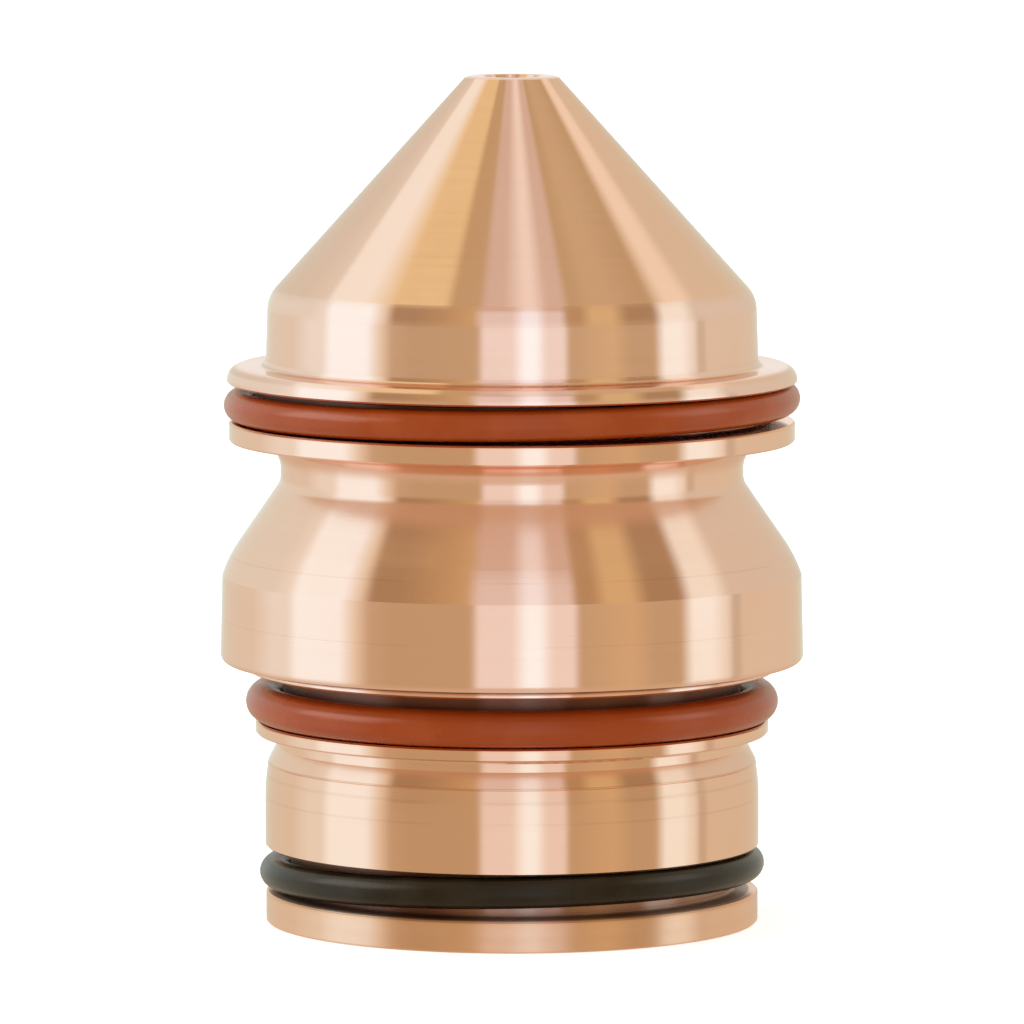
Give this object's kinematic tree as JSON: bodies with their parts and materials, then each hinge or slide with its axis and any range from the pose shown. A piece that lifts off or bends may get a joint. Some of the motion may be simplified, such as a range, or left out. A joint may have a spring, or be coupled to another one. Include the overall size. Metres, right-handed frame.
{
  "type": "plasma torch nozzle",
  "caption": "Turned copper nozzle of a plasma cutting torch: cone tip with an orifice, flange, S-curved bulge, and three seal rings in grooves.",
  "frame": {"origin": "centre of the rear rim's face, where the turning axis meets the surface that the nozzle stands on", "axes": "+Z along the turning axis, towards the tip; +X and +Y across it, with no preferred direction"},
  "size_m": [0.03, 0.03, 0.0435],
  "materials": {
    "copper": "satin turned copper",
    "red_silicone": "smooth moulded silicone",
    "black_rubber": "smooth moulded rubber"
  },
  "bodies": {
    "root": {"nozzle_body": "copper", "upper_o_ring": "red_silicone", "middle_o_ring": "red_silicone", "lower_o_ring": "black_rubber"}
  },
  "joints": []
}
